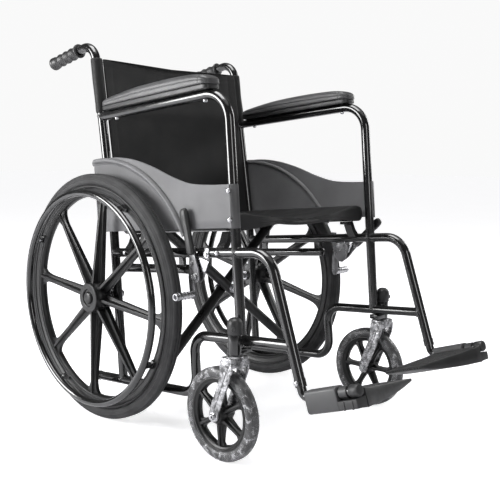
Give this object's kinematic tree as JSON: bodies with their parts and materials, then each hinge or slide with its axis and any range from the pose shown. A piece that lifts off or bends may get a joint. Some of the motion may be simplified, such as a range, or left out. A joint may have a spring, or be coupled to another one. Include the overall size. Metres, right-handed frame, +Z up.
{
  "type": "folding manual wheelchair",
  "caption": "Folding steel manual wheelchair with moulded spoke wheels, swivelling casters, sling seat, fixed padded arms, push handles, wheel locks and flip-up footplates.",
  "frame": {"origin": "on the floor, under the middle of the chair's overall box", "axes": "+Y towards the back of the chair, +X towards the chair's own left-hand side, +Z up"},
  "size_m": [0.6688, 1.0599, 0.9217],
  "materials": {
    "black_tube": "gloss black enamel on steel tube",
    "zinc": "bright zinc plate",
    "grey_plastic": "fine-textured moulded plastic",
    "black_plastic": "satin moulded plastic",
    "wheel_plastic": "semi-gloss moulded plastic",
    "tyre_rubber": "matt solid rubber tread",
    "caster_grey": "satin solid tyre",
    "vinyl": "grained vinyl-coated nylon",
    "pad": "smooth padded vinyl"
  },
  "bodies": {
    "right_frame": {"back_cane_right": "black_tube", "arm_tube_right": "black_tube", "seat_rail_right": "black_tube", "front_hanger_right": "black_tube", "lower_rail_right": "black_tube", "foot_tube_right": "black_tube", "pivot_bolt_right": "zinc", "skirt_guard_right": "grey_plastic", "arm_pad_right": "pad", "hand_grip_right": "black_plastic", "rear_axle_right": "zinc", "brake_bracket_right": "zinc", "caster_housing_right": "black_plastic", "back_upholstery": "vinyl"},
    "left_frame": {"back_cane_left": "black_tube", "arm_tube_left": "black_tube", "seat_rail_left": "black_tube", "front_hanger_left": "black_tube", "lower_rail_left": "black_tube", "foot_tube_left": "black_tube", "pivot_bolt_left": "zinc", "skirt_guard_left": "grey_plastic", "arm_pad_left": "pad", "hand_grip_left": "black_plastic", "rear_axle_left": "zinc", "brake_bracket_left": "zinc", "caster_housing_left": "black_plastic"},
    "brace_rear": {"brace_rear": "black_tube", "seat_tube_left": "black_tube", "centre_bolt": "zinc", "seat_sling": "vinyl"},
    "brace_front": {"brace_front": "black_tube", "seat_tube_right": "black_tube"},
    "rear_wheel_right": {"mag_wheel_right": "wheel_plastic", "rear_tyre_right": "tyre_rubber", "pushrim_right": "black_tube"},
    "caster_swivel_right": {"caster_fork_right": "zinc", "caster_axle_right": "zinc"},
    "caster_roll_right": {"caster_wheel_right": "wheel_plastic", "caster_tyre_right": "caster_grey"},
    "brake_lever_right": {"brake_lever_right": "zinc", "brake_grip_right": "black_plastic"},
    "brake_shoe_right": {"brake_shoe_right": "zinc"},
    "footplate_right": {"footplate_right": "grey_plastic", "foot_bush_right": "black_plastic"},
    "rear_wheel_left": {"mag_wheel_left": "wheel_plastic", "rear_tyre_left": "tyre_rubber", "pushrim_left": "black_tube"},
    "caster_swivel_left": {"caster_fork_left": "zinc", "caster_axle_left": "zinc"},
    "caster_roll_left": {"caster_wheel_left": "wheel_plastic", "caster_tyre_left": "caster_grey"},
    "brake_lever_left": {"brake_lever_left": "zinc", "brake_grip_left": "black_plastic"},
    "brake_shoe_left": {"brake_shoe_left": "zinc"},
    "footplate_left": {"footplate_left": "grey_plastic", "foot_bush_left": "black_plastic"}
  },
  "joints": [
    {"name": "fold", "type": "hinge", "parent": "right_frame", "child": "brace_rear", "pos_m": [-0.205, 0.21454, 0.13071], "axis": [0, -0.9958, 0.0915], "range_deg": [0, 44.4], "deforming": ["seat_sling", "back_upholstery"]},
    {"name": "brace_cross", "type": "hinge", "parent": "brace_rear", "child": "brace_front", "pos_m": [0, 0.22952, 0.29383], "axis": [0, -0.9958, 0.0915], "range_deg": [-89, 0]},
    {"name": "fold_left", "type": "hinge", "parent": "brace_front", "child": "left_frame", "pos_m": [0.205, 0.21454, 0.13071], "axis": [0, -0.9958, 0.0915], "range_deg": [0, 44.5]},
    {"name": "rear_wheel_right", "type": "hinge", "parent": "right_frame", "child": "rear_wheel_right", "pos_m": [-0.287, 0.23009, 0.3], "axis": [1, 0, 0], "continuous": true},
    {"name": "caster_swivel_right", "type": "hinge", "parent": "right_frame", "child": "caster_swivel_right", "pos_m": [-0.27, -0.22391, 0.24], "axis": [0, 0, 1], "continuous": true},
    {"name": "caster_roll_right", "type": "hinge", "parent": "caster_swivel_right", "child": "caster_roll_right", "pos_m": [-0.27, -0.18791, 0.1015], "axis": [1, 0, 0], "continuous": true},
    {"name": "brake_lever_right", "type": "hinge", "parent": "right_frame", "child": "brake_lever_right", "pos_m": [-0.264, -0.09991, 0.385], "axis": [1, 0, 0], "range_deg": [0, 61]},
    {"name": "brake_shoe_right", "type": "hinge", "parent": "right_frame", "child": "brake_shoe_right", "pos_m": [-0.26, -0.07991, 0.404], "axis": [1, 0, 0], "range_deg": [0, 7.82]},
    {"name": "footplate_flip_right", "type": "hinge", "parent": "right_frame", "child": "footplate_right", "pos_m": [-0.242, -0.38789, 0.17552], "axis": [0, -0.9452, 0.3264], "range_deg": [0, 96]},
    {"name": "rear_wheel_left", "type": "hinge", "parent": "left_frame", "child": "rear_wheel_left", "pos_m": [0.287, 0.23009, 0.3], "axis": [1, 0, 0], "continuous": true},
    {"name": "caster_swivel_left", "type": "hinge", "parent": "left_frame", "child": "caster_swivel_left", "pos_m": [0.27, -0.22391, 0.24], "axis": [0, 0, 1], "continuous": true},
    {"name": "caster_roll_left", "type": "hinge", "parent": "caster_swivel_left", "child": "caster_roll_left", "pos_m": [0.27, -0.18791, 0.1015], "axis": [1, 0, 0], "continuous": true},
    {"name": "brake_lever_left", "type": "hinge", "parent": "left_frame", "child": "brake_lever_left", "pos_m": [0.264, -0.09991, 0.385], "axis": [1, 0, 0], "range_deg": [-61, 0]},
    {"name": "brake_shoe_left", "type": "hinge", "parent": "left_frame", "child": "brake_shoe_left", "pos_m": [0.26, -0.07991, 0.404], "axis": [1, 0, 0], "range_deg": [-7.82, 0]},
    {"name": "footplate_flip_left", "type": "hinge", "parent": "left_frame", "child": "footplate_left", "pos_m": [0.242, -0.38789, 0.17552], "axis": [0, 0.9452, -0.3264], "range_deg": [0, 96]}
  ],
  "couplings": [
    {"joint": "brace_cross", "follows": "fold", "ratio": -2},
    {"joint": "fold_left", "follows": "fold", "ratio": 1},
    {"joint": "brake_shoe_right", "follows": "brake_lever_right", "ratio": 0.12787},
    {"joint": "footplate_flip_right", "follows": "fold", "ratio": 2.15},
    {"joint": "brake_shoe_left", "follows": "brake_lever_left", "ratio": 0.12787},
    {"joint": "footplate_flip_left", "follows": "fold", "ratio": 2.15}
  ]
}
